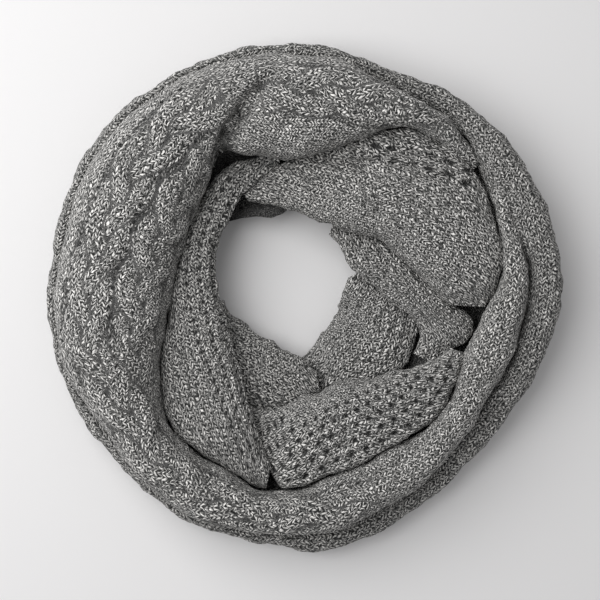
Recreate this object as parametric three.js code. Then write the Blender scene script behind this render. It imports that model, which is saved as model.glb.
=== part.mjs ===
// Cable-knit infinity scarf, worn double and laid down flat as a ring.
// Millimetres, +Z up. The origin is on the floor under the middle of the ring.
// Angles are degrees anticlockwise from +X, seen from above, and may run past 360 on a long stretch.
import * as THREE from "three";

// Driving dimensions
const cloth = 4; // thickness of the knitted cloth, without its raised cables
const coreClearance = 3; // air between the hidden layers and the cloth that covers them
const fullTurn = 360;
const fullness = 0.8; // power of the sections' quarter ellipses, below 1 for flatter tops and steeper sides
const arcSteps = 16; // points along each of those quarters
const finePerPoint = 3; // points a crease is pressed into, for each point of the finished section
const axisFromMiddle = { x: 0.9, y: 0.7 }; // the sections' axis, from the middle of the whole outline

// Cables: plaits of three strands that run along the cloth
const cable = {
  height: 3, // how far a strand stands out of the cloth where it lies on top
  under: 1, // how far it stands out where it passes under another
  strandHalf: 9, // half the width of one strand
  sway: 13, // how far a strand swings to each side of the plait's middle
  repeat: 144, // length of one full swing
  strands: 3,
  fade: 12, // degrees over which a plait rises out of plain cloth, and sinks into it again
  meanRadius: 165, // radius of the ring along the plait
};

// Ribs: plain raised columns that run along the cloth
const rib = { height: 1.6, half: 4.5 };

// Seen colours of the marled yarn where each stretch lies
const colours = {
  upper: 0x757775,
  lower: 0x6b6d6a,
  inner: 0x6f716e,
  core: 0x4a4b49,
};

// Each stretch of cloth is swept round the ring through its rows. A row is one section, cut by an upright
// plane through the ring's axis: the inner edge of the stretch, its crest and its outermost rim, each as
// a distance from the axis and a height. Under the edge and the rim the cloth turns back by tuck and foot.
const columns = ["at", "edge", "edgeZ", "crest", "crestZ", "rim", "rimZ"];

const upperTurn = {
  name: "upper_turn",
  colour: colours.upper,
  step: 3.4,
  across: 24,
  backEvery: 4,
  tuck: { inward: 5, down: 16 },
  foot: { inward: 14, down: 15 },
  rows: [
    [37, 163, 40, 168, 47, 173, 41],
    [44, 160, 48, 167, 60, 175, 49],
    [52, 157, 57, 167, 74, 176, 53],
    [60, 151, 59, 164, 81, 173, 56],
    [70, 130, 61, 154, 84, 176, 55],
    [80, 114, 62, 150, 85, 184, 50],
    [90, 107, 62, 148, 85, 187, 47],
    [100, 108, 61, 150, 85, 190, 45],
    [110, 116, 58, 155, 86, 192, 44],
    [118, 121, 55, 158, 86, 193, 44],
    [124, 119, 50, 156, 86, 193, 44],
    [132, 114, 46, 152, 86, 194, 43],
    [142, 106, 45, 148, 86, 195, 42],
    [152, 102, 45, 145, 85, 194, 42],
    [162, 100, 45, 143, 84, 191, 42],
    [172, 101, 45, 143, 83, 191, 42],
    [184, 104, 45, 146, 83, 193, 42],
    [196, 113, 45, 151, 82, 193, 42],
    [206, 124, 45, 155, 81, 187, 42],
    [215, 135, 45, 160, 80, 185, 42],
    [224, 144, 45, 166, 78, 187, 42],
    [234, 147, 45, 169, 76, 190, 41],
    [246, 147, 45, 169, 74, 190, 40],
    [256, 153, 44, 170, 72, 186, 40],
    [266, 151, 43, 169, 70, 183, 40],
    [277, 141, 42, 166, 68, 182, 40],
    [288, 136, 43, 161, 67, 176, 40],
    [300, 134, 44, 157, 67, 172, 40],
    [312, 137, 45, 154, 68, 167, 40],
    [322, 138, 47, 151, 69, 164, 40],
    [334, 134, 50, 149, 70, 163, 40],
    [345, 133, 52, 150, 70, 168, 40],
    [354, 139, 53, 155, 70, 171, 40],
    [361, 147, 54, 160, 69, 173, 42],
    [368, 155, 54, 164, 67, 174, 46],
    [374, 158, 53, 166, 65, 174, 50],
    [380, 160, 51, 167, 62, 173, 52],
    [387, 164, 48, 169, 59, 174, 52],
    [394, 168, 42, 172, 51, 176, 47],
    [396.4, 168, 40, 172, 47, 176, 44],
  ],
  // folds across the section: where it runs, its depth, and how wide it is to its inner and outer side
  creases: [
    {
      inner: 17,
      outer: 12,
      rows: [[95, 172, 0], [100, 166, 4], [104, 157, 9], [108, 150, 13], [112, 142, 14], [116, 134, 12],
        [120, 127, 8], [124, 120, 3], [128, 114, 0]],
    },
    { inner: 8, outer: 8, rows: [[268, 158, 0], [280, 151, 4], [294, 146, 5], [308, 144, 4], [320, 143, 0]] },
  ],
  // plaits: the middle of each as a distance from the axis, and how far its swings are shifted along it
  cables: [
    {
      shift: 20,
      middles: [[112, 164], [124, 161], [140, 158], [161, 156], [174, 161], [184, 165], [196, 164], [206, 160],
        [214, 159], [222, 163], [231, 167], [244, 169], [256, 170], [268, 170], [280, 166], [290, 162]],
    },
    {
      shift: 62,
      middles: [[116, 130], [124, 125], [132, 121], [145, 116], [161, 117], [174, 121], [188, 127], [198, 134],
        [210, 142]],
    },
    { shift: 0, middles: [[50, 165], [64, 158], [76, 156], [90, 157], [102, 160]] },
  ],
};

const lowerTurn = {
  name: "lower_turn",
  colour: colours.lower,
  step: 6,
  across: 12,
  backEvery: 2,
  closed: true,
  tuck: { inward: 4, down: 9 },
  floorFoot: 14, // how far the rim turns in again where it meets the floor
  rows: [
    [0, 177, 41, 189, 59, 202, 28],
    [8, 179, 45, 191, 60, 203, 28],
    [14, 178, 50, 190, 61, 203, 28],
    [20, 177, 52, 189, 62, 203, 28],
    [27, 178, 52, 189, 62, 202, 28],
    [33, 180, 51, 189, 62, 202, 28],
    [39, 180, 48, 189, 61, 201, 28],
    [45, 180, 45, 188, 60, 200, 28],
    [54, 179, 42, 188, 58, 197, 28],
    [63, 177, 40, 186, 56, 193, 28],
    [72, 179, 36, 187, 52, 190, 28],
    [82, 183, 30, 191, 43, 198, 27],
    [92, 185, 22, 194, 36, 201, 24],
    [104, 186, 18, 196, 34, 204, 22],
    [120, 187, 17, 198, 33, 205, 21],
    [139, 187, 17, 199, 33, 208, 21],
    [155, 186, 16, 197, 32, 206, 21],
    [170, 183, 16, 194, 32, 203, 21],
    [183, 185, 16, 196, 32, 204, 21],
    [196, 184, 16, 195, 32, 202, 21],
    [208, 178, 15, 190, 32, 201, 20],
    [224, 177, 15, 189, 31, 198, 19],
    [240, 184, 15, 192, 30, 201, 18],
    [254, 179, 15, 191, 30, 199, 17],
    [263, 176, 15, 189, 30, 199, 17],
    [272, 174, 15, 190, 30, 203, 17],
    [282, 173, 15, 188, 30, 200, 17],
    [292, 167, 15, 183, 31, 194, 18],
    [303, 163, 16, 179, 32, 189, 19],
    [313, 162, 18, 176, 35, 186, 21],
    [325, 163, 22, 176, 41, 186, 24],
    [337, 168, 28, 180, 48, 190, 27],
    [350, 174, 36, 186, 55, 197, 28],
  ],
};

const innerFold = {
  name: "inner_fold",
  colour: colours.inner,
  step: 5,
  across: 14,
  backEvery: 2,
  tuck: { inward: 0, down: 0 },
  foot: { inward: 3, down: 14 },
  rows: [
    [100, 107, 34, 109, 37, 111, 33],
    [105, 104, 35, 107, 38, 111, 33],
    [110, 99, 36, 105, 40, 113, 34],
    [118, 95, 37, 104, 43, 115, 35],
    [126, 90, 38, 101, 46, 113, 36],
    [135, 85, 39, 97, 49, 108, 37],
    [145, 80, 40, 92, 52, 103, 38],
    [156, 76, 41, 88, 54, 99, 39],
    [168, 71, 40, 85, 54, 99, 39],
    [180, 66, 40, 84, 54, 101, 39],
    [192, 64, 40, 85, 55, 107, 39],
    [204, 65, 41, 91, 56, 119, 39],
    [216, 68, 41, 98, 58, 133, 40],
    [226, 74, 42, 105, 59, 141, 42],
    [235, 82, 43, 112, 59, 143, 42],
    [243, 94, 44, 119, 58, 143, 42],
    [249, 105, 44, 125, 56, 145, 41],
    [254, 120, 44, 134, 54, 148, 40],
    [259, 133, 43, 141, 51, 149, 39],
  ],
  ribs: [4, 14],
};

const eyeletFold = {
  name: "eyelet_fold",
  colour: colours.upper,
  step: 5,
  across: 14,
  backEvery: 2,
  tuck: { inward: 0, down: 0 },
  foot: { inward: 5, down: 16 },
  rows: [
    [238, 99, 23, 105, 29, 112, 24],
    [247, 95, 26, 106, 35, 118, 28],
    [253, 91, 29, 106, 41, 126, 31],
    [259, 86, 30, 109, 47, 137, 34],
    [264, 82, 30, 113, 54, 146, 41],
    [270, 78, 30, 112, 58, 143, 47],
    [280, 75, 29, 108, 60, 135, 51],
    [290, 71, 29, 105, 61, 132, 52],
    [300, 74, 30, 105, 61, 131, 52],
    [310, 82, 33, 110, 61, 133, 53],
    [320, 90, 36, 113, 61, 134, 54],
    [328, 103, 39, 118, 59, 132, 51],
    [335, 113, 41, 122, 55, 131, 48],
    [341, 120, 40, 125, 48, 130, 42],
  ],
};

const crossingTurn = {
  name: "crossing_turn",
  colour: colours.upper,
  step: 5,
  across: 18,
  backEvery: 2,
  tuck: { inward: 5, down: 7 },
  foot: { inward: 4, down: 14 },
  rows: [
    [-3, 114, 44, 126, 53, 138, 44],
    [3, 101, 46, 121, 62, 146, 47],
    [10, 91, 46, 118, 65, 153, 49],
    [19, 84, 46, 116, 67, 155, 49],
    [28, 78, 45, 113, 67, 158, 49],
    [38, 73, 44, 112, 67, 160, 49],
    [47, 67, 43, 109, 66, 157, 51],
    [57, 61, 43, 103, 65, 151, 54],
    [66, 60, 42, 98, 61, 136, 54],
    [75, 61, 40, 94, 58, 119, 52],
    [84, 62, 38, 90, 55, 109, 50],
    [93, 66, 36, 90, 51, 105, 44],
    [102, 71, 35, 90, 45, 102, 34],
    [111, 79, 31, 90, 38, 98, 28],
    [120, 88, 28, 94, 34, 100, 28],
  ],
  creases: [
    { inner: 4, outer: 4, rows: [[40, 128, 0], [50, 119, 3], [60, 111, 4], [70, 107, 4], [80, 106, 0]] },
  ],
};

const underFold = {
  name: "under_fold",
  colour: colours.inner,
  step: 5,
  across: 12,
  backEvery: 2,
  tuck: { inward: 0, down: 0 },
  foot: { inward: 4, down: 5 },
  rows: [
    [-27, 97, 31, 105, 37, 113, 32],
    [-20, 97, 33, 108, 41, 119, 35],
    [-12, 89, 36, 112, 49, 132, 40],
    [-6, 73, 36, 98, 46, 127, 37],
    [0, 64, 35, 86, 44, 105, 38],
    [9, 55, 33, 74, 42, 92, 36],
    [18, 48, 32, 67, 41, 85, 35],
    [27, 45, 31, 62, 40, 79, 35],
    [36, 44, 30, 58, 39, 73, 34],
    [46, 47, 29, 58, 37, 68, 32],
    [57, 49, 28, 56, 35, 63, 31],
    [68, 53, 27, 59, 34, 65, 29],
  ],
};

const lowerFold = {
  name: "lower_fold",
  colour: colours.lower,
  step: 6,
  across: 12,
  backEvery: 2,
  tuck: { inward: 0, down: 0 },
  foot: { inward: 4, down: 5 },
  rows: [
    [-94, 50, 5, 58, 11, 68, 8],
    [-86, 45, 7, 57, 13, 70, 9],
    [-76, 38, 9, 56, 19, 77, 14],
    [-64, 32, 11, 58, 27, 83, 22],
    [-50, 30, 12, 61, 30, 86, 24],
    [-36, 30, 14, 65, 32, 93, 24],
    [-22, 29, 16, 64, 32, 92, 25],
    [-12, 28, 17, 58, 32, 88, 27],
    [0, 30, 19, 50, 30, 72, 26],
    [12, 33, 21, 46, 28, 60, 24],
    [24, 40, 22, 48, 27, 56, 23],
  ],
};

const innerLip = {
  name: "inner_lip",
  colour: colours.lower,
  step: 6,
  across: 12,
  backEvery: 2,
  tuck: { inward: 0, down: 0 },
  foot: { inward: 4, down: 5 },
  rows: [
    [182, 64, 12, 76, 20, 88, 14],
    [191, 61, 13, 74, 22, 88, 16],
    [201, 52, 14, 70, 25, 90, 20],
    [212, 48, 14, 68, 28, 92, 23],
    [224, 46, 14, 68, 31, 94, 25],
    [236, 43, 15, 68, 32, 95, 23],
    [248, 44, 16, 66, 31, 93, 20],
    [259, 45, 18, 64, 30, 88, 19],
    [267, 47, 20, 62, 29, 84, 19],
    [274, 53, 22, 64, 28, 79, 19],
    [280, 61, 23, 67, 27, 74, 20],
  ],
};

const stretches = [
  upperTurn,
  lowerTurn,
  innerFold,
  eyeletFold,
  crossingTurn,
  underFold,
  lowerFold,
  innerLip,
];

// The hidden layers: one rounded solid under all of the cloth
const core = {
  name: "hidden_layers",
  colour: colours.core,
  step: 8,
  across: 12,
  behindEdge: 6, // how far it stays back from the edges that show round the hole
  insideRim: 16, // how far it stays inside the outermost rim
  beyondEnds: 10, // how many degrees past a stretch's end it still stays under it
  least: 2, // height of its lowest place
  lip: { middle: 118, half: 20, inward: 20, height: 15 }, // low fold that shows in the hole's far corner
  bottomInset: 4, // how far its flat bottom stays inside its top
  samples: 40, // points along a section where the cloth above it is measured
};

// Values between rows: a smooth curve through a column, even where the rows are unevenly spaced
function smoothColumn(rows, column, at, period = 0) {
  const count = rows.length;
  const place = (i) => {
    if (!period) return rows[Math.min(Math.max(i, 0), count - 1)][0];
    return rows[((i % count) + count) % count][0] + Math.floor(i / count) * period;
  };
  const value = (i) => {
    const wrapped = period ? ((i % count) + count) % count : Math.min(Math.max(i, 0), count - 1);
    return rows[wrapped][column];
  };
  let i = 0;
  const last = period ? count - 1 : count - 2;
  while (i < last && at > place(i + 1)) i += 1;
  const span = place(i + 1) - place(i);
  const slope = (j) => {
    const run = place(j + 1) - place(j - 1);
    return run ? (value(j + 1) - value(j - 1)) / run : 0;
  };
  const t = THREE.MathUtils.clamp((at - place(i)) / span, 0, 1);
  const startWeight = 2 * t ** 3 - 3 * t ** 2 + 1;
  const leaveWeight = t ** 3 - 2 * t ** 2 + t;
  const arriveWeight = t ** 3 - t ** 2;
  return startWeight * value(i) + (1 - startWeight) * value(i + 1)
    + span * (leaveWeight * slope(i) + arriveWeight * slope(i + 1));
}

function rowAt(stretch, at) {
  const period = stretch.closed ? fullTurn : 0;
  const row = {};
  columns.forEach((column, i) => {
    row[column] = i ? smoothColumn(stretch.rows, i, at, period) : at;
  });
  return row;
}

// One section's outer line, from its inner end over the crest to its outer end, as quarters of rounded shapes
function sectionLine(stretch, at) {
  const row = rowAt(stretch, at);
  const line = [];
  const point = (r, z) => new THREE.Vector2(r, z);
  const quarter = (middle, from, to, power, skipFirst) => {
    for (let i = skipFirst ? 1 : 0; i <= arcSteps; i += 1) {
      const t = (i / arcSteps) * Math.PI / 2;
      const fromShare = Math.max(0, Math.cos(t)) ** power;
      const toShare = Math.sin(t) ** power;
      const r = middle.x + (from.x - middle.x) * fromShare + (to.x - middle.x) * toShare;
      const z = middle.y + (from.y - middle.y) * fromShare + (to.y - middle.y) * toShare;
      line.push(new THREE.Vector2(r, z));
    }
  };
  const edge = point(row.edge, row.edgeZ);
  const crest = point(row.crest, row.crestZ);
  const rim = point(row.rim, row.rimZ);
  if (stretch.tuck.inward) {
    const tucked = point(row.edge + stretch.tuck.inward, row.edgeZ - stretch.tuck.down);
    quarter(point(tucked.x, edge.y), tucked, edge, 1, false);
  }
  quarter(point(crest.x, edge.y), edge, crest, fullness, line.length > 0);
  quarter(point(crest.x, rim.y), crest, rim, fullness, true);
  if (stretch.floorFoot) {
    const foot = point(row.rim - stretch.floorFoot, 0);
    quarter(point(foot.x, rim.y), rim, foot, 1, true);
  } else {
    const foot = point(row.rim - stretch.foot.inward, row.rimZ - stretch.foot.down);
    quarter(point(foot.x, rim.y), rim, foot, 1, true);
  }
  return line;
}

// The same line with evenly spaced points, each with its outward normal and its distance from the start
function evenSection(line, count) {
  const lengths = [0];
  for (let i = 1; i < line.length; i += 1) {
    lengths.push(lengths[i - 1] + line[i].distanceTo(line[i - 1]));
  }
  const total = lengths[lengths.length - 1];
  const even = [];
  let k = 1;
  for (let i = 0; i <= count; i += 1) {
    const goal = (total * i) / count;
    while (k < line.length - 1 && lengths[k] < goal) k += 1;
    const t = (goal - lengths[k - 1]) / (lengths[k] - lengths[k - 1]);
    const along = line[k].clone().sub(line[k - 1]).normalize();
    even.push({
      place: line[k - 1].clone().lerp(line[k], t),
      outward: new THREE.Vector2(-along.y, along.x),
      distance: goal,
    });
  }
  return even;
}

// Creases are troughs pressed into the outer line
function creaseDepth(stretch, at, r) {
  let depth = 0;
  for (const crease of stretch.creases ?? []) {
    const first = crease.rows[0][0];
    const final = crease.rows[crease.rows.length - 1][0];
    if (at < first || at > final) continue;
    const middle = smoothColumn(crease.rows, 1, at);
    const deep = Math.max(0, smoothColumn(crease.rows, 2, at));
    const width = r < middle ? crease.inner : crease.outer;
    depth += deep * Math.exp(-(((r - middle) / width) ** 2));
  }
  return depth;
}

// A raised strand is a round bump across the cloth
const bump = (offset, half) => Math.max(0, 1 - (offset / half) ** 2);

// Distance along a section at which it passes outwards over a radius
function distanceAt(points, r) {
  for (let i = 1; i < points.length; i += 1) {
    const before = points[i - 1];
    const after = points[i];
    if (before.place.x < r && after.place.x >= r) {
      const share = (r - before.place.x) / (after.place.x - before.place.x);
      return THREE.MathUtils.lerp(before.distance, after.distance, share);
    }
  }
  return points[points.length - 1].distance;
}

// The plaits that cross a section: where each has its middle and how far it has risen out of plain cloth
function plaitsAt(stretch, at, points) {
  return (stretch.cables ?? []).map(({ middles, shift }) => {
    const first = middles[0][0];
    const final = middles[middles.length - 1][0];
    const rise = THREE.MathUtils.smoothstep(at, first, first + cable.fade);
    const sink = THREE.MathUtils.smoothstep(at, final - cable.fade, final);
    return {
      middle: distanceAt(points, smoothColumn(middles, 1, at)),
      along: THREE.MathUtils.degToRad(at) * cable.meanRadius + shift,
      fade: rise * (1 - sink),
    };
  });
}

function relief(stretch, point, plaits) {
  let raised = 0;
  for (const { middle, along, fade } of plaits) {
    const offset = point.distance - middle;
    for (let strand = 0; strand < cable.strands; strand += 1) {
      const phase = (2 * Math.PI * along) / cable.repeat + (2 * Math.PI * strand) / cable.strands;
      // a strand lies on top while it runs back towards the middle
      const top = (1 - Math.sin(2 * phase)) / 2;
      const strandHeight = THREE.MathUtils.lerp(cable.under, cable.height, top);
      const height = strandHeight * Math.sqrt(bump(offset - cable.sway * Math.sin(phase), cable.strandHalf));
      raised = Math.max(raised, height * fade);
    }
  }
  for (const middle of stretch.ribs ?? []) {
    raised = Math.max(raised, rib.height * bump(point.distance - middle, rib.half));
  }
  return raised;
}

// One station of a stretch: its outer points, raised and creased, and its plain inner points
function station(stretch, at) {
  const finePoints = evenSection(sectionLine(stretch, at), stretch.across * finePerPoint);
  const creased = finePoints.map((p) => (
    p.place.clone().addScaledVector(p.outward, -creaseDepth(stretch, at, p.place.x))
  ));
  const points = evenSection(creased, stretch.across);
  const plaits = plaitsAt(stretch, at, points);
  const front = points.map((p) => p.place.clone().addScaledVector(p.outward, relief(stretch, p, plaits)));
  const back = points
    .filter((p, i) => i % stretch.backEvery === 0)
    .map((p) => p.place.clone().addScaledVector(p.outward, -cloth));
  if (stretch.floorFoot) back.forEach((p) => { p.y = Math.max(p.y, cloth); });
  front.forEach((p) => { p.y = Math.max(p.y, 0); });
  return { at, front, back };
}

function stationAngles(stretch) {
  const first = stretch.rows[0][0];
  const final = stretch.closed ? first + fullTurn : stretch.rows[stretch.rows.length - 1][0];
  const count = Math.round((final - first) / stretch.step);
  return Array.from({ length: count + 1 }, (_, i) => first + ((final - first) * i) / count);
}

// A closed mesh from corner points and triangles
function closedGeometry(corners, faces) {
  const geometry = new THREE.BufferGeometry();
  geometry.setAttribute("position", new THREE.Float32BufferAttribute(corners, 3));
  geometry.setIndex(faces);
  geometry.computeVertexNormals();
  return geometry;
}

// Sweeps closed outlines of equal counts round the ring, and caps the two ends unless it closes on itself
function sweep(stations, outline, closed, capFaces) {
  const corners = [];
  const faces = [];
  const used = closed ? stations.slice(0, -1) : stations;
  const around = outline(used[0]).length;
  for (const one of used) {
    const turn = THREE.MathUtils.degToRad(one.at);
    for (const p of outline(one)) corners.push(p.x * Math.cos(turn), p.x * Math.sin(turn), p.y);
  }
  const rings = used.length;
  const spans = closed ? rings : rings - 1;
  for (let i = 0; i < spans; i += 1) {
    const here = i * around;
    const next = ((i + 1) % rings) * around;
    for (let j = 0; j < around; j += 1) {
      const k = (j + 1) % around;
      faces.push(here + j, here + k, next + j);
      faces.push(here + k, next + k, next + j);
    }
  }
  if (!closed) {
    for (const [a, b, c] of capFaces) {
      faces.push(a, c, b);
      const end = (rings - 1) * around;
      faces.push(end + a, end + b, end + c);
    }
  }
  return closedGeometry(corners, faces);
}

// The end of a wall: each stretch of its back line is joined to the front points that face it
function wallCap(stretch) {
  const { across, backEvery } = stretch;
  const backCount = across / backEvery;
  const backIndex = (i) => across + 1 + (backCount - i);
  const cap = [];
  for (let i = 0; i < backCount; i += 1) {
    for (let j = 0; j < backEvery; j += 1) {
      const front = i * backEvery + j;
      cap.push([backIndex(i), front, front + 1]);
    }
    cap.push([backIndex(i), (i + 1) * backEvery, backIndex(i + 1)]);
  }
  return cap;
}

function clothGeometry(stretch) {
  const stations = stationAngles(stretch).map((at) => station(stretch, at));
  const outline = (one) => [...one.front, ...[...one.back].reverse()];
  return sweep(stations, outline, stretch.closed, wallCap(stretch));
}

// Height of the cloth's plain inner side over a place on the floor, or nothing where there is none
function undersideOver(stretch, at, r, reach) {
  const first = stretch.rows[0][0];
  const final = stretch.rows[stretch.rows.length - 1][0];
  let lowest = Infinity;
  for (const turned of [at - fullTurn, at, at + fullTurn]) {
    if (!stretch.closed && (turned < first - core.beyondEnds || turned > final + core.beyondEnds)) continue;
    if (stretch.closed && turned !== at) continue;
    const clamped = stretch.closed ? turned : THREE.MathUtils.clamp(turned, first, final);
    const line = evenSection(sectionLine(stretch, clamped), core.samples);
    for (const p of line) {
      const depth = cloth + creaseDepth(stretch, clamped, p.place.x);
      const inner = p.place.clone().addScaledVector(p.outward, -depth);
      for (const face of [p.place, inner]) {
        if (Math.abs(face.x - r) < reach) lowest = Math.min(lowest, face.y);
      }
    }
  }
  return lowest;
}

function edgeOfHole(at) {
  let nearest = Infinity;
  for (const stretch of stretches) {
    const first = stretch.rows[0][0];
    const final = stretch.rows[stretch.rows.length - 1][0];
    for (const turned of [at - fullTurn, at, at + fullTurn]) {
      if (stretch.closed ? turned !== at : turned < first || turned > final) continue;
      nearest = Math.min(nearest, rowAt(stretch, turned).edge);
    }
  }
  return nearest;
}

function coreStation(at) {
  const { lip } = core;
  const inner = edgeOfHole(at) + core.behindEdge - lip.inward * bump(at - lip.middle, lip.half);
  const least = Math.max(core.least, lip.height * bump(at - lip.middle, lip.half));
  const outer = rowAt(lowerTurn, at).rim - core.insideRim;
  const spacing = (outer - inner) / core.across;
  const top = [];
  for (let j = 0; j <= core.across; j += 1) {
    const r = inner + spacing * j;
    let height = Infinity;
    for (const near of [-core.step, -core.step / 2, 0, core.step / 2, core.step]) {
      for (const stretch of stretches) {
        height = Math.min(height, undersideOver(stretch, at + near, r, spacing + 1));
      }
    }
    const clear = Math.max(core.least, Number.isFinite(height) ? height - coreClearance : least);
    top.push(new THREE.Vector2(r, clear));
  }
  const bottom = [
    new THREE.Vector2(outer - core.bottomInset, 0),
    new THREE.Vector2(inner + core.bottomInset, 0),
  ];
  return { at, top, bottom };
}

function coreGeometry() {
  const count = fullTurn / core.step;
  const stations = Array.from({ length: count + 1 }, (_, i) => coreStation(i * core.step));
  return sweep(stations, (one) => [...one.top, ...one.bottom], true, []);
}

const group = new THREE.Group();
group.position.set(axisFromMiddle.x, axisFromMiddle.y, 0);

function addNode(name, geometry, colour) {
  const material = new THREE.MeshStandardMaterial({ color: colour, roughness: 0.95, metalness: 0 });
  const mesh = new THREE.Mesh(geometry, material);
  mesh.name = name;
  group.add(mesh);
}

for (const stretch of stretches) addNode(stretch.name, clothGeometry(stretch), stretch.colour);
addNode(core.name, coreGeometry(), core.colour);

export default group;
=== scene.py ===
import math

import bmesh
import bpy
import numpy as np
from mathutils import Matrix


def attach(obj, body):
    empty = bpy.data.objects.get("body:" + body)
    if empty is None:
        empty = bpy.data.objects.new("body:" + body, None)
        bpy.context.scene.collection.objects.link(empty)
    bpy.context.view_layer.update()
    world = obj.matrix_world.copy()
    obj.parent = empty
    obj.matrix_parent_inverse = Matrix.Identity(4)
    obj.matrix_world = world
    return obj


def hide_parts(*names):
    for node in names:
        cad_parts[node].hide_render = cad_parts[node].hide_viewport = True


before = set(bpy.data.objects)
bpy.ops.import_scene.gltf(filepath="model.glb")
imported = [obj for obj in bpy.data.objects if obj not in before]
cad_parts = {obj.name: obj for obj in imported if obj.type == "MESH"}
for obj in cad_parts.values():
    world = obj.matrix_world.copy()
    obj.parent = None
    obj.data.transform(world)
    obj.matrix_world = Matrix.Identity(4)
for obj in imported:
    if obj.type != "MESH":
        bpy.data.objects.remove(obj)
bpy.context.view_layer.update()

# A cable-knit infinity scarf, doubled into a ring and laid flat, seen from straight above.
# Sizes are in millimetres up to the moment that a mesh is written. Blender's own unit is the metre.
metresPerMillimetre = 0.001
axisFromMiddle = (0.9, 0.7)  # the axis of all sections, from the middle of the whole outline
fullTurn = 360

knit = {
    "stitchWidth": 4.8,    # one column of stitches
    "stitchHeight": 3.1,   # one row of stitches
    "wall": 3.4,           # thickness of the cloth without its cables
    "wander": 2.2,         # how far columns and rows stray from straight
    "fullness": 0.8,       # power of the sections' quarter curves, below 1 for flatter tops
    "arcPoints": 25,       # points along each quarter curve
    "darkestCrease": 36,   # depth of a crease whose bottom gets painted shade as dark as the painted gaps between stitches
    "sectionPoints": 160,  # points along a section while its creases are pressed in
    "roughStations": 200,  # sections that a stretch's length is measured from
    "insideSpans": 8,      # faces across the plain inner side of the cloth
    "mergeWithin": 2e-6,   # in metres, for the doubled points where a wall closes on itself
}

# Cables are plaits of three strands, each a few columns of stitches wide
plait = {
    "height": 3.0,        # how far a strand stands out where it lies on top
    "under": 1.0,         # and where it passes under another
    "strandHalf": 9.0,    # half a strand's width
    "sway": 13.0,         # how far a strand swings to each side of the plait's middle
    "repeat": 144.0,      # length of one full swing
    "fade": 12.0,         # degrees over which it rises out of plain cloth
    "meanRadius": 165.0,  # radius of the ring along the plait
    "strands": 3,
    "strandShift": 56.0,  # sets one strand's stitches off from the next one's, so that their flecks differ
    "ditchShade": 0.6,    # how dark the painted shade on the plain cloth between the strands is
    "ditchRise": 1.3,     # a strand is out of that shade at this many times its lower height
}

# Eyelets are pits in the knitting, whose bottoms get painted shade
eyeletForm = {
    "fade": 2.0,  # degrees over which a row of them begins and ends
    "soft": 0.7,  # how far a pit's rim reaches to each side of its radius
}

# Soft unevenness of cloth that was pushed into a ring by hand: height, length along and length across
softWaves = [
    {"height": 0.7, "along": 53.0, "across": 61.0, "start": 0.3},
    {"height": 0.45, "along": 31.0, "across": -41.0, "start": 1.9},
    {"height": 0.3, "along": 19.0, "across": 27.0, "start": 4.1},
    {"height": 0.25, "along": 11.0, "across": -13.0, "start": 2.2},
]

# The columns of a stretch's rows: where the section stands round the ring, in degrees, then its inner edge,
# its crest and its outer rim, each as a distance from the axis and a height
columnNames = ["at", "edge", "edgeZ", "crest", "crestZ", "rim", "rimZ"]


# Curves and sections
def smoothColumn(places, values, at):
    # a smooth curve through values that stand at uneven places
    places, values = np.asarray(places, float), np.asarray(values, float)
    slopes = np.empty(len(values))
    slopes[1:-1] = (values[2:] - values[:-2]) / (places[2:] - places[:-2])
    slopes[0] = (values[1] - values[0]) / (places[1] - places[0])
    slopes[-1] = (values[-1] - values[-2]) / (places[-1] - places[-2])
    i = np.clip(np.searchsorted(places, at, side="left") - 1, 0, len(places) - 2)
    span = places[i + 1] - places[i]
    t = np.clip((at - places[i]) / span, 0, 1)
    startWeight = 2 * t**3 - 3 * t**2 + 1
    leaveWeight = t**3 - 2 * t**2 + t
    arriveWeight = t**3 - t**2
    return (startWeight * values[i] + leaveWeight * span * slopes[i]
            + (1 - startWeight) * values[i + 1] + arriveWeight * span * slopes[i + 1])


def rowsAt(stretch, at):
    rows = np.array(stretch["rows"], float)
    if stretch.get("closed"):
        before, after = rows[-2:].copy(), rows[:2].copy()
        before[:, 0] -= fullTurn
        after[:, 0] += fullTurn
        rows = np.vstack([before, rows, after])
    row = {name: smoothColumn(rows[:, 0], rows[:, k], at) for k, name in enumerate(columnNames)}
    # cloth presses against its neighbours, where the solids stand a little apart
    row["edge"] = row["edge"] - stretch.get("reachIn", 0)
    row["rim"] = row["rim"] + stretch.get("reachOut", 0)
    return row


def sectionLines(stretch, at):
    # each section's outer line as quarter curves, from under its inner edge over the crest to its foot
    row = rowsAt(stretch, at)
    turn = np.linspace(0, math.pi / 2, knit["arcPoints"])[None, :]
    lines = []

    def quarter(middle, start, end, power=1):
        fromStart, toEnd = np.maximum(0, np.cos(turn)) ** power, np.sin(turn) ** power
        line = [m[:, None] + (a - m)[:, None] * fromStart + (b - m)[:, None] * toEnd
                for m, a, b in zip(middle, start, end)]
        skip = 1 if lines else 0
        lines.append((line[0][:, skip:], line[1][:, skip:]))

    edge = (row["edge"], row["edgeZ"])
    crest = (row["crest"], row["crestZ"])
    rim = (row["rim"], row["rimZ"])
    tuckIn, tuckDown = stretch["tuck"]
    if tuckIn or tuckDown:
        tucked = (edge[0] + tuckIn, edge[1] - tuckDown)
        quarter((tucked[0], edge[1]), tucked, edge)
    quarter((crest[0], edge[1]), edge, crest, knit["fullness"])
    quarter((crest[0], rim[1]), crest, rim, knit["fullness"])
    footIn, footDown = stretch["foot"]
    footZ = np.zeros_like(rim[1]) if footDown is None else rim[1] - footDown
    foot = (rim[0] - footIn, footZ)
    quarter((foot[0], rim[1]), rim, foot)
    return np.hstack([r for r, z in lines]), np.hstack([z for r, z in lines])


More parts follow.
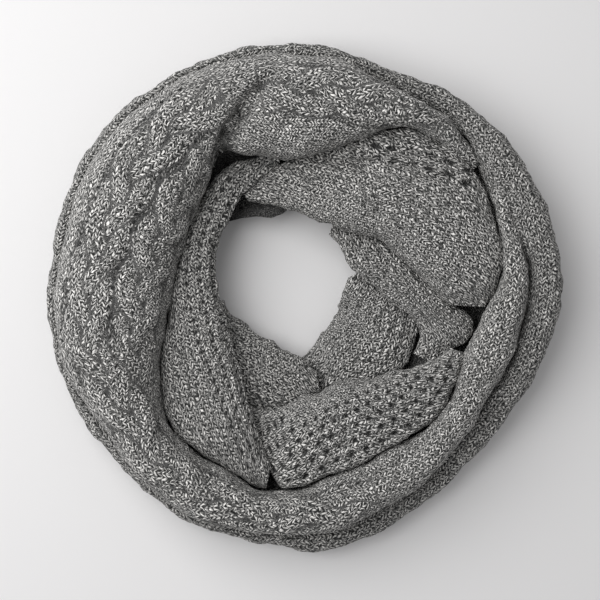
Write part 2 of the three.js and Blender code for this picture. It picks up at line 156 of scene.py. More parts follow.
def evenLines(lineR, lineZ, count):
    # the same lines with evenly spaced points, and the distance of each point from the start
    stepLengths = np.hypot(np.diff(lineR, axis=1), np.diff(lineZ, axis=1))
    lengths = np.hstack([np.zeros((len(lineR), 1)), np.cumsum(stepLengths, axis=1)])
    goals = lengths[:, -1:] * np.linspace(0, 1, count + 1)[None, :]
    evenR = np.array([np.interp(g, d, r) for g, d, r in zip(goals, lengths, lineR)])
    evenZ = np.array([np.interp(g, d, z) for g, d, z in zip(goals, lengths, lineZ)])
    return evenR, evenZ, goals


def outwardNormals(lineR, lineZ):
    alongR, alongZ = np.gradient(lineR, axis=1), np.gradient(lineZ, axis=1)
    size = np.maximum(np.hypot(alongR, alongZ), 1e-9)
    return -alongZ / size, alongR / size


def creaseDepths(stretch, at, lineR):
    depth = np.zeros_like(lineR)
    for crease in stretch.get("creases", []):
        rows = np.array(crease["rows"], float)
        inside = (at >= rows[0, 0]) & (at <= rows[-1, 0])
        middle = smoothColumn(rows[:, 0], rows[:, 1], at)[:, None]
        deep = np.maximum(0, smoothColumn(rows[:, 0], rows[:, 2], at))[:, None] * inside[:, None]
        width = np.where(lineR < middle, crease["inner"], crease["outer"])
        depth += deep * np.exp(-(((lineR - middle) / width) ** 2))
    return depth


def distanceAt(lineR, distance, radii):
    # the distance along each section at which it passes outwards over a radius
    found = []
    for r, d, radius in zip(lineR, distance, radii):
        first, last = r[: len(r) // 2].argmin(), r.argmax()
        found.append(np.interp(radius, r[first:last + 1], d[first:last + 1]))
    return np.array(found)[:, None]


def lineDistance(line, at, lineR, distance):
    # where a line along the cloth crosses each section: rows of angle and radius, or a plain distance
    # from the start of the sections or, below zero, from their end
    if isinstance(line, list):
        rows = np.array(line, float)
        return distanceAt(lineR, distance, smoothColumn(rows[:, 0], rows[:, 1], at))
    return distance[:, -1:] + line if line < 0 else np.full((len(at), 1), float(line))


def bump(offset, half):
    return np.maximum(0, 1 - (offset / half) ** 2)


def smoothStep(value, start, end):
    t = np.clip((value - start) / (end - start), 0, 1)
    return t * t * (3 - 2 * t)


def knitSurface(stretch, at, lineR, distance, along):
    # how far each point is raised, where it lies on the knitting in millimetres, and how much painted shade
    # it gets
    total = distance[:, -1:]
    offset = distance - total * stretch.get("middle", 0)
    column, row = offset.copy(), np.broadcast_to(along[:, None], offset.shape).copy()
    raised = np.zeros_like(offset)
    paintedShade = np.zeros_like(offset)
    for wave in softWaves:
        phase = offset / wave["across"] + row / wave["along"]
        raised += wave["height"] * np.sin(2 * math.pi * phase + wave["start"])
    best = np.zeros_like(offset)
    for cable in stretch.get("cables", []):
        first, last = cable["middles"][0][0], cable["middles"][-1][0]
        fade = smoothStep(at, first, first + plait["fade"]) * (1 - smoothStep(at, last - plait["fade"], last))
        fade = fade[:, None]
        fromMiddle = distance - lineDistance(cable["middles"], at, lineR, distance)
        plaitAlong = np.radians(at)[:, None] * plait["meanRadius"] + cable["shift"]
        for strand in range(plait["strands"]):
            phase = 2 * math.pi * (plaitAlong / plait["repeat"] + strand / plait["strands"])
            onTop = (1 - np.sin(2 * phase)) / 2  # while the strand runs back towards the middle
            strandHeight = plait["under"] + (plait["height"] - plait["under"]) * onTop
            fromStrand = fromMiddle - plait["sway"] * np.sin(phase)
            height = strandHeight * np.sqrt(bump(fromStrand, plait["strandHalf"])) * fade
            lean = np.arctan(2 * math.pi * plait["sway"] / plait["repeat"] * np.cos(phase))
            top = height > best
            best = np.where(top, height, best)
            column = np.where(top, fromStrand * np.cos(lean) + plait["strandShift"] * (strand + 1), column)
            row = np.where(top, along[:, None] + fromStrand * np.sin(lean), row)
        # the plain cloth between the strands gets painted shade where no strand stands high
        near = bump(fromMiddle, plait["sway"] + plait["strandHalf"]) > 0
        ditch = near * fade * (1 - smoothStep(best, 0, plait["under"] * plait["ditchRise"]))
        paintedShade = np.maximum(paintedShade, plait["ditchShade"] * ditch)
    raised += best
    for ribs in stretch.get("ribs", []):
        for line in ribs["lines"]:
            fromRib = distance - lineDistance(line, at, lineR, distance)
            raised += ribs["height"] * bump(fromRib, ribs["half"])
    for eyelets in stretch.get("eyelets", []):
        begun = smoothStep(at, eyelets["from"], eyelets["from"] + eyeletForm["fade"])
        ended = smoothStep(at, eyelets["to"] - eyeletForm["fade"], eyelets["to"])
        inside = (begun * (1 - ended))[:, None]
        radius, spacing = eyelets["radius"], eyelets["spacing"]
        for k, line in enumerate(eyelets["lines"]):
            shifted = along[:, None] + (k % 2) * spacing / 2
            beside = (shifted + spacing / 2) % spacing - spacing / 2
            away = np.hypot(beside, distance - lineDistance(line, at, lineR, distance))
            rim = smoothStep(away, radius - eyeletForm["soft"], radius + eyeletForm["soft"])
            pit = (1 - rim) * inside
            raised -= eyelets["depth"] * pit
            # the pit gets painted shade, darkest at its middle
            paintedShade = np.maximum(paintedShade, pit)
    return raised, column, row, paintedShade


def knitShell(stretch):
    # a closed wall of cloth: a flat grid whose one side runs along the ring and whose other side runs
    # over the outside of the cloth and back inside it
    name, detail = stretch["name"], stretch["detail"]
    first = stretch["rows"][0][0]
    last = first + fullTurn if stretch.get("closed") else stretch["rows"][-1][0]
    rough = rowsAt(stretch, np.linspace(first, last, knit["roughStations"]))
    length = np.radians(last - first) * rough["crest"].mean()
    stations = int(round(length / detail))
    at = np.linspace(first, last, stations + 1)
    lineR, lineZ = sectionLines(stretch, at)
    evenR, evenZ, _ = evenLines(lineR, lineZ, knit["sectionPoints"])
    normalR, normalZ = outwardNormals(evenR, evenZ)
    depth = creaseDepths(stretch, at, evenR)
    creasedR, creasedZ = evenR - depth * normalR, evenZ - depth * normalZ
    _, _, distance = evenLines(creasedR, creasedZ, 1)
    width = distance[:, -1].mean()
    front = int(round(width / detail))
    frontR, frontZ, distance = evenLines(creasedR, creasedZ, front)
    normalR, normalZ = outwardNormals(frontR, frontZ)

    row = rowsAt(stretch, at)
    turned = np.radians(at)
    crestX, crestY = row["crest"] * np.cos(turned), row["crest"] * np.sin(turned)
    along = np.concatenate([[0], np.cumsum(np.hypot(np.diff(crestX), np.diff(crestY)))])
    raised, column, rowPlace, paintedShade = knitSurface(stretch, at, frontR, distance, along)
    # crease bottoms get painted shade by their depth
    paintedShade = np.maximum(paintedShade, creaseDepths(stretch, at, frontR) / knit["darkestCrease"])

    pick = np.linspace(front, 0, knit["insideSpans"] + 1).round().astype(int)
    backR = frontR[:, pick] - knit["wall"] * normalR[:, pick]
    backZ = frontZ[:, pick] - knit["wall"] * normalZ[:, pick]
    allR = np.hstack([frontR + raised * normalR, backR])
    allZ = np.hstack([frontZ + raised * normalZ, backZ])
    floorGap = np.hstack([np.zeros_like(frontZ), np.full_like(backZ, knit["wall"])])
    if stretch["foot"][1] is None:
        allZ = np.maximum(allZ, floorGap)
    allZ = np.maximum(allZ, 0)
    columnAll = np.hstack([column, column[:, pick]])
    rowAll = np.hstack([rowPlace, rowPlace[:, pick]])
    paintedShadeAll = np.hstack([paintedShade, np.zeros_like(backR)])
    # the last column closes the wall on the first
    allR, allZ = np.hstack([allR, allR[:, :1]]), np.hstack([allZ, allZ[:, :1]])
    columnAll, rowAll = np.hstack([columnAll, columnAll[:, :1]]), np.hstack([rowAll, rowAll[:, :1]])
    paintedShadeAll = np.hstack([paintedShadeAll, paintedShadeAll[:, :1]])
    places = allR.shape[1]

    mesh = bpy.data.meshes.new(name)
    b = bmesh.new()
    bmesh.ops.create_grid(b, x_segments=stations, y_segments=places - 1, size=0.5)
    # each point's painted shade goes into an attribute by which the yarn material darkens its colour
    paintedShadeLayer = b.verts.layers.float.new("paintedShade")
    stitchLayer = b.loops.layers.uv.new("stitch")
    cosines, sines = np.cos(turned), np.sin(turned)
    where = []
    for v in b.verts:
        i = round((v.co.x + 0.5) * stations)
        j = round((v.co.y + 0.5) * (places - 1))
        where.append((i, j))
        v.co = (
            (allR[i, j] * cosines[i] + axisFromMiddle[0]) * metresPerMillimetre,
            (allR[i, j] * sines[i] + axisFromMiddle[1]) * metresPerMillimetre,
            allZ[i, j] * metresPerMillimetre,
        )
        v[paintedShadeLayer] = paintedShadeAll[i, j]
    b.verts.index_update()
    for face in b.faces:
        face.smooth = True
        for loop in face.loops:
            i, j = where[loop.vert.index]
            loop[stitchLayer].uv = (columnAll[i, j], rowAll[i, j])
    bmesh.ops.remove_doubles(b, verts=b.verts, dist=knit["mergeWithin"])
    openEdges = [e for e in b.edges if e.is_boundary]
    if openEdges:
        ends = bmesh.ops.holes_fill(b, edges=openEdges, sides=0)
        bmesh.ops.triangulate(b, faces=ends["faces"])
    bmesh.ops.recalc_face_normals(b, faces=b.faces)
    b.to_mesh(mesh)
    b.free()
    piece = bpy.data.objects.new(name, mesh)
    bpy.context.scene.collection.objects.link(piece)
    stretch["cut"] = (width * metresPerMillimetre, along[-1] * metresPerMillimetre)
    print("knitted", name, len(mesh.polygons), "faces, cut", [round(x, 3) for x in stretch["cut"]])
    return piece


# Materials
def linear(hexColour):
    # sRGB hex to the linear colour that Blender works in
    parts = [int(hexColour[i:i + 2], 16) / 255 for i in (1, 3, 5)]
    return tuple(p / 12.92 if p <= 0.04045 else ((p + 0.055) / 1.055) ** 2.4 for p in parts) + (1.0,)


def addNode(tree, kind, settings, inputs):
    # a node with its settings; an input that is another node's output is linked, any other is its value
    node = tree.nodes.new(kind)
    for key, value in settings.items():
        setattr(node, key, value)
    for key, value in inputs.items():
        if isinstance(value, bpy.types.NodeSocket):
            tree.links.new(value, node.inputs[key])
        else:
            node.inputs[key].default_value = value
    return node


# Marled yarn, light and dark grey plies twisted together, then knitted in plain stitches.
# The eye sees salt-and-pepper flecks that lean with each half stitch, with small gaps between that are
# painted dark as shade.
marledYarn = {
    "lightPly": "#FBF9F5",
    "darkPly": "#474846",
    # painted shade: the colour painted into the gaps between stitches
    "gap": "#0A0B0A",
    "slant": 0.95,        # rows that one half stitch climbs across its column
    "fleckLong": 2.5,     # a fleck of one ply, along the half stitch
    "fleckWide": 1.25,
    "relief": 1.4,        # how far a stitch stands out of the gaps
    "fleckRelief": 0.3,   # share of that by which a light fleck stands higher than a dark one
    "fleckDark": 0.41,    # noise below this makes a fleck all dark, and above the next all light
    "fleckLight": 0.56,
    "gapEnd": 0.14,       # height of a half stitch, from 0 to 1, up to which it is painted as a shaded gap
    "stitchStart": 0.62,  # and from which it has its own colour
    "halfRound": 0.6,     # below 1 for half stitches that are flatter across than along
    "lowShade": 0.9,      # how dark the painted shade makes the places that the mesh marks for it
    "strayLength": 8.0,   # distance over which columns and rows stray from straight
    "cloudLength": 30.0,  # distance over which the yarn's tone changes
    "cloudTone": 0.05,    # how much it changes each way
    "roughness": 0.9,
    "sheen": 0.15,
    "sheenRoughness": 0.6,
    "specular": 0.2,
}


def marledKnit(name, yarn, shade=1.0):
    material = bpy.data.materials.new(name)
    material.use_nodes = True
    tree = material.node_tree
    tree.nodes.clear()
    place = addNode(tree, "ShaderNodeUVMap", {"uv_map": "stitch"}, {}).outputs[0]
    # columns and rows stray a little from straight
    stray = addNode(tree, "ShaderNodeTexNoise", {"noise_dimensions": "2D"},
                    {"Vector": place, "Scale": 1 / yarn["strayLength"], "Detail": 3.0,
                     "Roughness": 0.62}).outputs["Color"]
    centred = addNode(tree, "ShaderNodeVectorMath", {"operation": "SUBTRACT"},
                      {0: stray, 1: (0.5, 0.5, 0.5)}).outputs[0]
    strayed = addNode(tree, "ShaderNodeVectorMath", {"operation": "MULTIPLY_ADD"},
                      {0: centred, 1: (knit["wander"] * 2, knit["wander"] * 2, 0), 2: place}).outputs[0]
    split = addNode(tree, "ShaderNodeSeparateXYZ", {}, {0: strayed})
    halfColumn = addNode(tree, "ShaderNodeMath", {"operation": "MULTIPLY"},
                         {0: split.outputs[0], 1: 2 / knit["stitchWidth"]}).outputs[0]
    climb = addNode(tree, "ShaderNodeMath", {"operation": "PINGPONG"}, {0: halfColumn, 1: 1.0}).outputs[0]
    rowsUp = addNode(tree, "ShaderNodeMath", {"operation": "MULTIPLY"},
                     {0: split.outputs[1], 1: 1 / knit["stitchHeight"]}).outputs[0]
    row = addNode(tree, "ShaderNodeMath", {"operation": "MULTIPLY_ADD"},
                  {0: climb, 1: yarn["slant"], 2: rowsUp}).outputs[0]

    # a half stitch is plump in its middle and falls away to the gaps on all sides
    rounded = []
    for coordinate in (row, halfColumn):
        fromEdge = addNode(tree, "ShaderNodeMath", {"operation": "PINGPONG"},
                           {0: coordinate, 1: 0.5}).outputs[0]
        fromMiddle = addNode(tree, "ShaderNodeMath", {"operation": "MULTIPLY_ADD"},
                             {0: fromEdge, 1: -2.0, 2: 1.0}).outputs[0]
        squared = addNode(tree, "ShaderNodeMath", {"operation": "MULTIPLY"},
                          {0: fromMiddle, 1: fromMiddle}).outputs[0]
        rounded.append(addNode(tree, "ShaderNodeMath", {"operation": "SUBTRACT"},
                               {0: 1.0, 1: squared}).outputs[0])
    softHalf = addNode(tree, "ShaderNodeMath", {"operation": "POWER"},
                       {0: rounded[1], 1: yarn["halfRound"]}).outputs[0]
    plump = addNode(tree, "ShaderNodeMath", {"operation": "MULTIPLY"},
                    {0: rounded[0], 1: softHalf}).outputs[0]

    # flecks of the two plies, longer along the half stitch than across it
    fleckAlong = addNode(tree, "ShaderNodeMath", {"operation": "MULTIPLY"},
                         {0: halfColumn, 1: knit["stitchWidth"] / 2 / yarn["fleckLong"]}).outputs[0]
    fleckAcross = addNode(tree, "ShaderNodeMath", {"operation": "MULTIPLY"},
                          {0: row, 1: knit["stitchHeight"] / yarn["fleckWide"]}).outputs[0]
    fleckPlace = addNode(tree, "ShaderNodeCombineXYZ", {}, {0: fleckAlong, 1: fleckAcross}).outputs[0]
    fleck = addNode(tree, "ShaderNodeTexNoise", {"noise_dimensions": "2D"},
                    {"Vector": fleckPlace, "Scale": 1.0, "Detail": 1.5, "Roughness": 0.6}).outputs["Fac"]
    lightShare = addNode(tree, "ShaderNodeMapRange", {"interpolation_type": "SMOOTHSTEP"},
                         {"Value": fleck, "From Min": yarn["fleckDark"],
                          "From Max": yarn["fleckLight"]}).outputs[0]
    yarnColour = addNode(tree, "ShaderNodeMix", {"data_type": "RGBA"},
                         {0: lightShare, 6: linear(yarn["darkPly"]), 7: linear(yarn["lightPly"])}).outputs[2]

    # painted shade: the gaps between the stitches are painted dark, and so are the places that the mesh marks
    # with painted shade (plait ditches, eyelet pits, crease bottoms)
    openShare = addNode(tree, "ShaderNodeMapRange", {"interpolation_type": "SMOOTHSTEP"},
                        {"Value": plump, "From Min": yarn["gapEnd"],
                         "From Max": yarn["stitchStart"]}).outputs[0]
    paintedShadeAmount = addNode(tree, "ShaderNodeAttribute", {"attribute_name": "paintedShade"}, {}).outputs["Fac"]
    unshadedShare = addNode(tree, "ShaderNodeMath", {"operation": "MULTIPLY_ADD", "use_clamp": True},
                          {0: paintedShadeAmount, 1: -yarn["lowShade"], 2: 1.0}).outputs[0]
    lit = addNode(tree, "ShaderNodeMath", {"operation": "MULTIPLY"},
                  {0: openShare, 1: unshadedShare}).outputs[0]
    cloudy = addNode(tree, "ShaderNodeTexNoise", {"noise_dimensions": "2D"},
                     {"Vector": place, "Scale": 1 / yarn["cloudLength"], "Detail": 2.0}).outputs["Fac"]
    # the shade factor scales the yarn's whole colour: painted light or shade for the whole material
    tone = addNode(tree, "ShaderNodeMapRange", {},
                   {"Value": cloudy, "From Min": 0.3, "From Max": 0.7,
                    "To Min": (1 - yarn["cloudTone"]) * shade,
                    "To Max": (1 + yarn["cloudTone"]) * shade}).outputs[0]
    toned = addNode(tree, "ShaderNodeVectorMath", {"operation": "SCALE"},
                    {0: yarnColour, "Scale": tone}).outputs[0]
    colour = addNode(tree, "ShaderNodeMix", {"data_type": "RGBA"},
                     {0: lit, 6: linear(yarn["gap"]), 7: toned}).outputs[2]

    height = addNode(tree, "ShaderNodeMath", {"operation": "MULTIPLY_ADD"},
                     {0: lightShare, 1: yarn["fleckRelief"], 2: plump}).outputs[0]
    normal = addNode(tree, "ShaderNodeBump", {},
                     {"Height": height, "Strength": 1.0,
                      "Distance": yarn["relief"] * metresPerMillimetre}).outputs[0]
    shader = addNode(tree, "ShaderNodeBsdfPrincipled", {}, {
        "Base Color": colour,
        "Roughness": yarn["roughness"],
        "Sheen Weight": yarn["sheen"],
        "Sheen Roughness": yarn["sheenRoughness"],
        "Specular IOR Level": yarn["specular"],
        "Normal": normal,
    }).outputs[0]
    addNode(tree, "ShaderNodeOutputMaterial", {}, {"Surface": shader})
    return material


# The same yarn in every material; the shade factors are painted light and shade: the cable stretches painted
# lighter, the rib stretches darker, the outer turn darker still
cableKnitPaintedLighter = marledKnit("marled_yarn_cable_painted_lighter", marledYarn, shade=1.06)
ribKnitPaintedDarker = marledKnit("marled_yarn_rib_painted_darker", marledYarn, shade=0.96)
outerKnitPaintedShade = marledKnit("marled_yarn_outer_turn_painted_shade", marledYarn, shade=0.86)
eyeletKnit = marledKnit("marled_yarn_eyelet_knitted", marledYarn)
# the hidden layers are the same yarn painted nearly black, as painted shadow
hiddenKnitPaintedShadow = marledKnit("marled_yarn_hidden_layers_painted_shadow", marledYarn, shade=0.3)


# The stretches of cloth, from the outside in
upperTurn = {
    "name": "upper_turn_knit",
    "node": "upper_turn",
    "slot": "marled_cable_knit",
    "material": cableKnitPaintedLighter,
    "rests": ["lower_turn_knit", "hidden_layers_knit"],
    "detail": 1.25,
    "tuck": (5, 16),
    "foot": (14, 24),
    "middle": 0.42,  # share of its width from which its columns are counted
    "rows": [
        [37, 163, 40, 168, 47, 173, 41],
        [44, 160, 48, 167, 60, 175, 49],
        [52, 157, 57, 167, 74, 176, 53],
        [60, 151, 59, 164, 81, 173, 56],
        [70, 130, 61, 154, 84, 176, 55],
        [80, 114, 62, 150, 85, 184, 50],
        [90, 107, 62, 148, 85, 187, 47],
        [100, 108, 61, 150, 85, 190, 45],
        [110, 116, 58, 155, 86, 192, 44],
        [118, 121, 55, 158, 86, 193, 44],
        [124, 119, 50, 156, 86, 193, 44],
        [132, 114, 46, 152, 86, 194, 43],
        [142, 106, 45, 148, 86, 195, 42],
        [152, 102, 45, 145, 85, 194, 42],
        [162, 100, 45, 143, 84, 191, 42],
        [172, 101, 45, 143, 83, 191, 42],
        [184, 104, 45, 146, 83, 193, 42],
        [196, 113, 45, 151, 82, 193, 42],
        [206, 124, 45, 155, 81, 187, 42],
        [215, 135, 45, 160, 80, 185, 42],
        [224, 144, 45, 166, 78, 187, 42],
        [234, 147, 45, 169, 76, 190, 41],
        [246, 147, 45, 169, 74, 190, 40],
        [256, 153, 44, 170, 72, 186, 40],
        [266, 151, 43, 169, 70, 183, 40],
        [277, 141, 42, 166, 68, 182, 40],
        [288, 136, 43, 161, 67, 176, 40],
        [300, 134, 44, 157, 67, 172, 40],
        [312, 137, 45, 154, 68, 167, 40],
        [322, 138, 47, 151, 69, 164, 40],
        [334, 134, 50, 149, 70, 163, 40],
        [345, 133, 52, 150, 70, 168, 40],
        [354, 139, 53, 155, 70, 171, 40],
        [361, 147, 54, 160, 69, 173, 42],
        [368, 155, 54, 164, 67, 174, 46],
        [374, 158, 53, 166, 65, 174, 50],
        [380, 160, 51, 167, 62, 173, 52],
        [387, 164, 48, 169, 59, 174, 52],
        [394, 168, 42, 172, 51, 176, 47],
        [397, 168, 38, 172, 46, 177, 43],
    ],
    "creases": [
        {"inner": 12, "outer": 4.5,
         "rows": [[95, 172, 0], [100, 166, 7], [104, 157, 13], [108, 150, 18], [112, 142, 20], [116, 134, 19],
                  [120, 127, 14], [124, 120, 7], [128, 114, 0]]},
        {"inner": 8, "outer": 8,
         "rows": [[268, 158, 0], [280, 151, 4], [294, 146, 5], [308, 144, 4], [320, 143, 0]]},
    ],
    "cables": [
        {"shift": 20,
         "middles": [[112, 164], [124, 161], [140, 158], [161, 156], [174, 161], [184, 165], [196, 164],
                     [206, 160], [214, 159], [222, 163], [231, 167], [244, 169], [256, 170], [268, 170],
                     [280, 166], [290, 162]]},
        {"shift": 62,
         "middles": [[116, 130], [124, 125], [132, 121], [145, 116], [161, 117], [174, 121], [188, 127],
                     [198, 134], [210, 142]]},
        {"shift": 0, "middles": [[50, 165], [64, 158], [76, 156], [90, 157], [102, 160]]},
    ],
    "eyelets": [
        {"from": 116, "to": 204, "spacing": 7.5, "radius": 1.5, "depth": 2.2,
         "lines": [[[112, 184], [130, 181], [157, 174], [161, 172], [174, 177], [182, 180], [188, 185],
                    [206, 180]],
                   [[116, 141], [143, 142], [153, 139], [164, 138], [176, 143], [188, 147], [206, 150]]]},
    ],
}

lowerTurn = {
    "name": "lower_turn_knit",
    "node": "lower_turn",
    "slot": "marled_outer_knit",
    "material": outerKnitPaintedShade,
    "rests": ["hidden_layers_knit"],
    "detail": 1.4,
    "closed": True,
    "tuck": (4, 9),
    "foot": (14, None),
    "reachIn": 4,
    "reachOut": -2,
    "ribs": [{"lines": [30, 39, 48, 57, 66], "height": 0.9, "half": 4.0}],
    "rows": [
        [0, 177, 41, 189, 59, 202, 28],
        [8, 179, 45, 191, 60, 203, 28],
        [14, 175, 50, 190, 61, 203, 28],
        [20, 173, 52, 189, 62, 203, 28],
        [27, 173, 52, 189, 62, 202, 28],
        [33, 174, 51, 189, 62, 202, 28],
        [39, 176, 48, 189, 61, 201, 28],
        [45, 180, 45, 188, 60, 200, 28],
        [54, 179, 42, 188, 58, 197, 28],
        [63, 177, 40, 186, 56, 193, 28],
        [72, 179, 36, 187, 52, 190, 28],
        [82, 183, 30, 191, 43, 198, 27],
        [92, 185, 22, 194, 36, 201, 24],
        [104, 186, 18, 196, 34, 204, 22],
        [120, 187, 17, 198, 33, 205, 21],
        [139, 187, 17, 199, 33, 208, 21],
        [155, 186, 16, 197, 32, 206, 21],
        [170, 183, 16, 194, 32, 203, 21],
        [183, 185, 16, 196, 32, 204, 21],
        [196, 184, 16, 195, 32, 202, 21],
        [208, 178, 15, 190, 32, 201, 20],
        [224, 177, 15, 189, 31, 198, 19],
        [240, 184, 15, 192, 30, 201, 18],
        [254, 179, 15, 191, 30, 199, 17],
        [263, 176, 15, 189, 30, 199, 17],
        [272, 174, 15, 190, 30, 203, 17],
        [282, 173, 15, 188, 30, 200, 17],
        [292, 167, 15, 183, 31, 194, 18],
        [303, 163, 16, 179, 32, 189, 19],
        [313, 162, 18, 176, 35, 186, 21],
        [325, 163, 22, 176, 41, 186, 24],
        [337, 168, 28, 180, 48, 190, 27],
        [350, 174, 36, 186, 55, 197, 28],
    ],
}

innerFold = {
    "name": "inner_fold_knit",
    "node": "inner_fold",
    "slot": "marled_rib_knit",
    "material": ribKnitPaintedDarker,
    "rests": ["inner_lip_knit", "hidden_layers_knit"],
    "detail": 0.95,
    "tuck": (0, 0),
    "foot": (3, 14),
    "reachOut": 3,
    "ribs": [{"lines": [4, 14], "height": 1.6, "half": 4.5}, {"lines": [25, 36], "height": 0.8, "half": 4.5}],
    "eyelets": [{"from": 120, "to": 256, "spacing": 9.0, "lines": [9, 20, 31], "radius": 1.6, "depth": 2.0}],
    "rows": [
        [100, 107, 34, 109, 37, 111, 33],
        [105, 104, 35, 107, 38, 111, 33],
        [110, 99, 36, 105, 40, 113, 34],
        [118, 95, 37, 104, 43, 115, 35],
        [126, 90, 38, 101, 46, 113, 36],
        [135, 85, 39, 97, 49, 108, 37],
        [145, 80, 40, 92, 52, 103, 38],
        [156, 76, 41, 88, 54, 99, 39],
        [168, 71, 40, 85, 54, 99, 39],
        [180, 66, 40, 84, 54, 101, 39],
        [192, 64, 40, 85, 55, 107, 39],
        [204, 65, 41, 91, 56, 119, 39],
        [216, 68, 41, 98, 58, 133, 40],
        [226, 74, 42, 105, 59, 141, 42],
        [235, 82, 43, 112, 59, 143, 42],
        [243, 94, 44, 119, 58, 143, 42],
        [249, 105, 44, 125, 56, 145, 41],
        [254, 120, 44, 134, 54, 148, 40],
        [259, 133, 43, 141, 51, 149, 39],
    ],
}

eyeletFold = {
    "name": "eyelet_fold_knit",
    "node": "eyelet_fold",
    "slot": "marled_eyelet_knit",
    "material": eyeletKnit,
    "rests": ["lower_fold_knit", "hidden_layers_knit"],
    "detail": 0.9,
    "tuck": (0, 0),
    "foot": (5, 16),
    "reachOut": 3,
    "eyelets": [{"from": 252, "to": 338, "spacing": 10.5, "lines": [-30, -40, -50, -60, -70], "radius": 1.9,
                 "depth": 2.8}],
    "ribs": [{"lines": [-25, -35, -45, -55, -65], "height": 0.9, "half": 4.0}],
    "rows": [
        [238, 99, 23, 105, 29, 112, 24],
        [247, 95, 26, 106, 35, 118, 28],
        [253, 91, 29, 106, 41, 126, 31],
        [259, 86, 30, 109, 47, 137, 34],
        [264, 82, 30, 113, 54, 146, 41],
        [270, 78, 30, 112, 58, 143, 47],
        [280, 75, 29, 108, 60, 135, 51],
        [290, 71, 29, 105, 61, 132, 52],
        [300, 74, 30, 105, 61, 131, 52],
        [310, 82, 33, 110, 61, 133, 53],
        [320, 90, 36, 113, 61, 134, 54],
        [328, 103, 39, 118, 59, 132, 51],
        [335, 113, 41, 122, 55, 131, 48],
        [341, 120, 40, 125, 48, 130, 42],
    ],
}

crossingTurn = {
    "name": "crossing_turn_knit",
    "node": "crossing_turn",
    "slot": "marled_eyelet_knit",
    "material": eyeletKnit,
    "rests": ["under_fold_knit", "hidden_layers_knit"],
    "detail": 1.0,
    "tuck": (5, 7),
    "foot": (4, 14),
    "reachOut": 3.5,
    "rows": [
        [-3, 114, 44, 126, 53, 138, 44],
        [3, 101, 46, 121, 62, 146, 47],
        [10, 91, 46, 118, 65, 153, 49],
        [19, 84, 46, 116, 67, 155, 49],
        [28, 78, 45, 113, 67, 158, 49],
        [38, 73, 44, 112, 67, 160, 49],
        [47, 67, 43, 109, 66, 157, 51],
        [57, 61, 43, 103, 65, 151, 54],
        [66, 60, 42, 98, 61, 136, 54],
        [75, 61, 40, 94, 58, 119, 52],
        [84, 62, 38, 90, 55, 109, 50],
        [93, 66, 36, 90, 51, 105, 44],
        [102, 71, 35, 90, 45, 102, 34],
        [111, 79, 31, 90, 38, 98, 28],
        [120, 88, 28, 94, 34, 100, 28],
    ],
    "creases": [
        {"inner": 7, "outer": 3,
         "rows": [[37, 145, 0], [42, 138, 4], [46, 129, 6], [55, 121, 7], [65, 114, 7], [79, 110, 5],
                  [88, 104, 0]]},
    ],
    "eyelets": [
        {"from": 33, "to": 68, "spacing": 10.5, "radius": 2.8, "depth": 3.6,
         "lines": [[[35, 164], [38, 160], [47, 148], [55, 138], [63, 129]],
                   [[34, 154], [36, 151], [45, 138], [54, 127], [62, 120]]]},
    ],
}

underFold = {
    "name": "under_fold_knit",
    "node": "under_fold",
    "slot": "marled_rib_knit",
    "material": ribKnitPaintedDarker,
    "rests": ["lower_fold_knit", "hidden_layers_knit"],
    "detail": 0.95,
    "tuck": (0, 0),
    "foot": (4, 8),
    "reachOut": 3,
    "ribs": [{"lines": [9, 18, 27, 36, 45], "height": 0.9, "half": 4.0}],
    "rows": [
        [-27, 97, 31, 105, 37, 113, 32],
        [-20, 97, 33, 108, 41, 119, 35],
        [-12, 89, 36, 112, 49, 132, 40],
        [-6, 73, 36, 98, 46, 127, 37],
        [0, 64, 35, 86, 44, 105, 38],
        [9, 55, 33, 74, 42, 92, 36],
        [18, 48, 32, 67, 41, 85, 35],
        [27, 45, 31, 62, 40, 79, 35],
        [36, 44, 30, 58, 39, 73, 34],
        [46, 47, 29, 58, 37, 68, 32],
        [57, 49, 28, 56, 35, 63, 31],
        [68, 53, 27, 59, 34, 65, 29],
    ],
}

lowerFold = {
    "name": "lower_fold_knit",
    "node": "lower_fold",
    "slot": "marled_rib_knit",
    "material": ribKnitPaintedDarker,
    "rests": ["hidden_layers_knit"],
    "detail": 0.95,
    "tuck": (0, 0),
    "foot": (4, 8),
    "reachOut": 4,
    "ribs": [{"lines": [10, 20, 30, 40, 50, 60], "height": 0.9, "half": 4.2}],
    "rows": [
        [-94, 50, 5, 58, 11, 68, 8],
        [-86, 45, 7, 57, 13, 70, 9],
        [-76, 38, 9, 56, 19, 77, 14],
        [-64, 32, 11, 58, 27, 83, 22],
        [-50, 30, 12, 61, 30, 86, 24],
        [-36, 30, 14, 65, 32, 93, 24],
        [-22, 29, 16, 64, 32, 92, 25],
        [-12, 28, 17, 58, 32, 88, 27],
        [0, 30, 19, 50, 30, 72, 26],
        [12, 33, 21, 46, 28, 60, 24],
        [24, 40, 22, 48, 27, 56, 23],
    ],
}

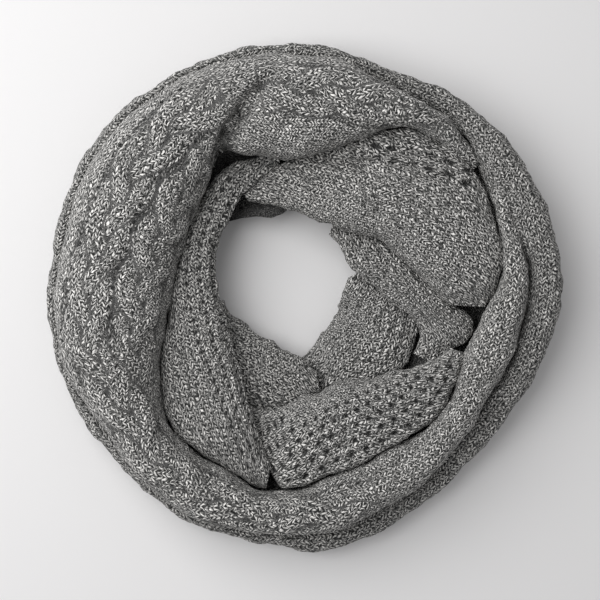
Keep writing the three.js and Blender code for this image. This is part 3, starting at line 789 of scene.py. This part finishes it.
innerLip = {
    "name": "inner_lip_knit",
    "node": "inner_lip",
    "slot": "marled_rib_knit",
    "material": ribKnitPaintedDarker,
    "rests": ["hidden_layers_knit"],
    "detail": 0.95,
    "tuck": (0, 0),
    "foot": (4, 8),
    "reachOut": 4,
    "ribs": [{"lines": [8, 17, 26, 35, 44], "height": 0.9, "half": 4.0}],
    "rows": [
        [182, 64, 12, 76, 20, 88, 14],
        [191, 61, 13, 74, 22, 88, 16],
        [201, 52, 14, 70, 25, 90, 20],
        [212, 48, 14, 68, 28, 92, 23],
        [224, 46, 14, 68, 31, 94, 25],
        [236, 43, 15, 68, 32, 95, 23],
        [248, 44, 16, 66, 31, 93, 20],
        [259, 45, 18, 64, 30, 88, 19],
        [267, 47, 20, 62, 29, 84, 19],
        [274, 53, 22, 64, 28, 79, 19],
        [280, 61, 23, 67, 27, 74, 20],
    ],
}

for stretch in (upperTurn, lowerTurn, innerFold, eyeletFold, crossingTurn, underFold, lowerFold, innerLip):
    piece = knitShell(stretch)
    piece.data.materials.append(stretch["material"])
    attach(piece, "root")
    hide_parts(stretch["node"])
print("all stretches of cloth made")


# The hidden layers, one rounded heap under the cloth
hiddenLayers = {
    "name": "hidden_layers_knit",
    "node": "hidden_layers",
    "meanRadius": 0.125,  # in metres, where its rows of stitches have their true height
    "mergeWithin": 1e-6,
}
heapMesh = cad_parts[hiddenLayers["node"]].data.copy()
heapMesh.name = hiddenLayers["name"]
b = bmesh.new()
b.from_mesh(heapMesh)
bmesh.ops.remove_doubles(b, verts=b.verts, dist=hiddenLayers["mergeWithin"])
stitchLayer = b.loops.layers.uv.new("stitch")
for face in b.faces:
    face.smooth = True
    middle = face.calc_center_median()
    middleTurn = math.atan2(middle.y, middle.x)
    facesOut = face.normal.x * middle.x + face.normal.y * middle.y > 0
    climb = -1 if facesOut else 1  # the knitting runs up the sides as well as over the top
    for loop in face.loops:
        x, y, z = loop.vert.co
        turn = middleTurn + math.remainder(math.atan2(y, x) - middleTurn, 2 * math.pi)
        column, row = math.hypot(x, y) + climb * z, turn * hiddenLayers["meanRadius"]
        loop[stitchLayer].uv = (column / metresPerMillimetre, row / metresPerMillimetre)
b.to_mesh(heapMesh)
b.free()
heapMesh.materials.clear()
# painted shadow: the heap's material is the yarn darkened to nearly black
heapMesh.materials.append(hiddenKnitPaintedShadow)
heap = bpy.data.objects.new(hiddenLayers["name"], heapMesh)
bpy.context.scene.collection.objects.link(heap)
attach(heap, "root")
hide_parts(hiddenLayers["node"])
print("hidden layers made")


# Floor, light and camera
studio = {
    "floorSize": 6.0,
    "floor": "#EFEEEE",
    "floorRoughness": 0.85,
    "background": "#E6E6E7",
    "backgroundStrength": 0.44,
    "window": {"place": (-0.65, 0.33, 0.98), "size": 1.3, "watts": 14.4},
    "camera": {"place": (-0.0019, -0.0013, 1.15), "lens": 85.4, "sensor": 36.0},
}
scene = bpy.context.scene

floorMesh = bpy.data.meshes.new("floor")
b = bmesh.new()
bmesh.ops.create_grid(b, x_segments=1, y_segments=1, size=studio["floorSize"] / 2)
b.to_mesh(floorMesh)
b.free()
floor = bpy.data.objects.new("floor", floorMesh)
scene.collection.objects.link(floor)
paper = bpy.data.materials.new("matt_white_paper")
paper.use_nodes = True
paperShader = paper.node_tree.nodes["Principled BSDF"]
paperShader.inputs["Base Color"].default_value = linear(studio["floor"])
paperShader.inputs["Roughness"].default_value = studio["floorRoughness"]
floorMesh.materials.append(paper)

world = bpy.data.worlds.new("studio")
world.use_nodes = True
world.node_tree.nodes["Background"].inputs["Color"].default_value = linear(studio["background"])
world.node_tree.nodes["Background"].inputs["Strength"].default_value = studio["backgroundStrength"]
scene.world = world

lamp = bpy.data.lights.new("window", "AREA")
lamp.shape = "SQUARE"
lamp.size = studio["window"]["size"]
lamp.energy = studio["window"]["watts"]
window = bpy.data.objects.new("window", lamp)
window.location = studio["window"]["place"]
direction = -window.location.normalized()
window.rotation_euler = direction.to_track_quat("-Z", "Y").to_euler()
scene.collection.objects.link(window)

lensData = bpy.data.cameras.new("overhead")
lensData.lens = studio["camera"]["lens"]
lensData.sensor_width = studio["camera"]["sensor"]
camera = bpy.data.objects.new("overhead", lensData)
camera.location = studio["camera"]["place"]
scene.collection.objects.link(camera)
scene.camera = camera
scene.view_settings.view_transform = "Standard"
print("floor, light and camera made")
